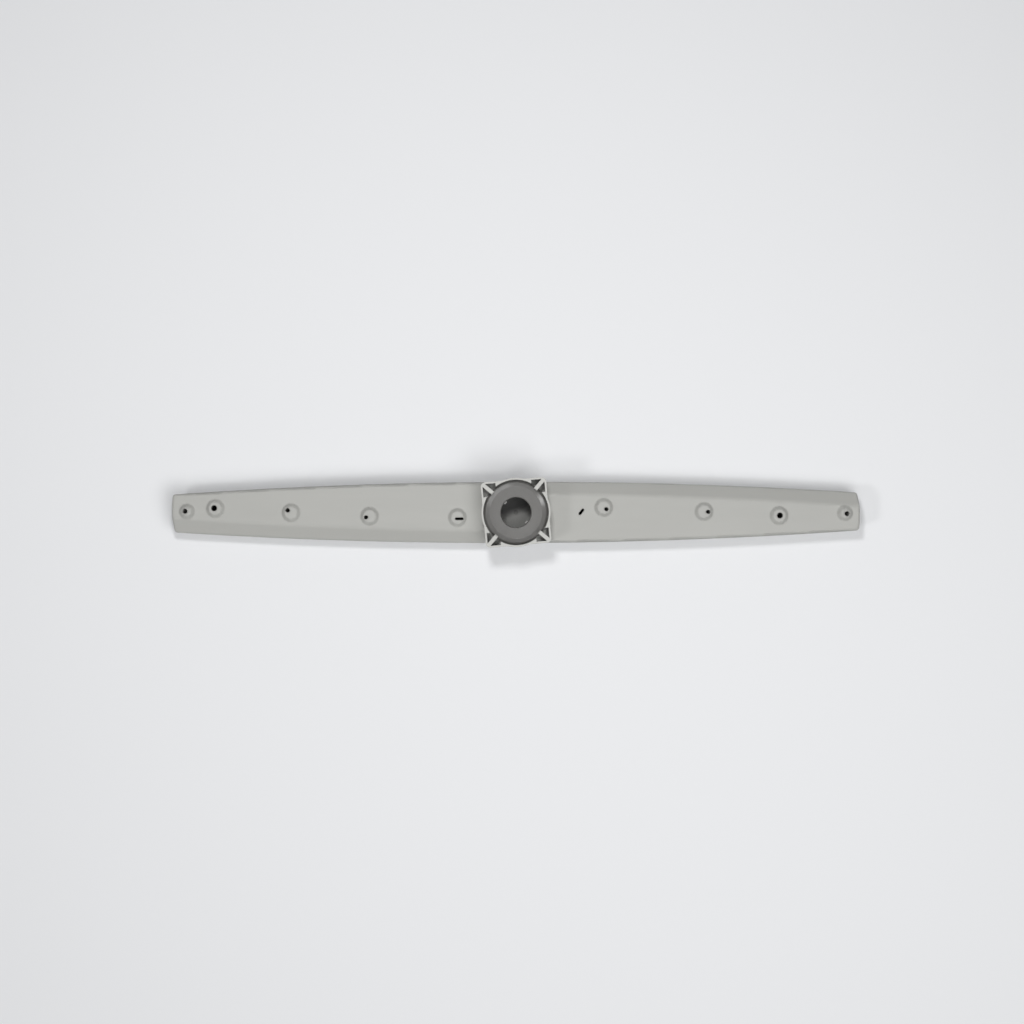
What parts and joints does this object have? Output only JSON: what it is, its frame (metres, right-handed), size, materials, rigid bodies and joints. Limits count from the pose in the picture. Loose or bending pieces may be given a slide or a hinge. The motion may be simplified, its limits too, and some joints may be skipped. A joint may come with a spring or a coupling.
{
  "type": "dishwasher spray arm",
  "caption": "Long tapering dishwasher spray arm with a hollow water channel, raised jet buttons and a square-cornered hub collar that spins on a clipped-in feed bush.",
  "frame": {"origin": "hub axis at the arm's flat underside", "axes": "+X along the wings, +Z along the hub axis towards the feed and the jets"},
  "size_m": [0.4696, 0.0476, 0.0399],
  "materials": {
    "arm_plastic": "fine-textured moulded polypropylene, light warm grey",
    "collar_plastic": "smooth moulded polypropylene, pale grey",
    "bearing_plastic": "smooth moulded acetal, mid grey"
  },
  "bodies": {
    "bearing": {"hub_bearing": "bearing_plastic"},
    "arm": {"upper_shell": "arm_plastic", "lower_shell": "arm_plastic", "hub_collar": "collar_plastic"}
  },
  "joints": [
    {"name": "arm_spin", "type": "hinge", "parent": "bearing", "child": "arm", "pos_m": [0, 0, 0.02], "axis": [0, 0, 1], "continuous": true}
  ]
}
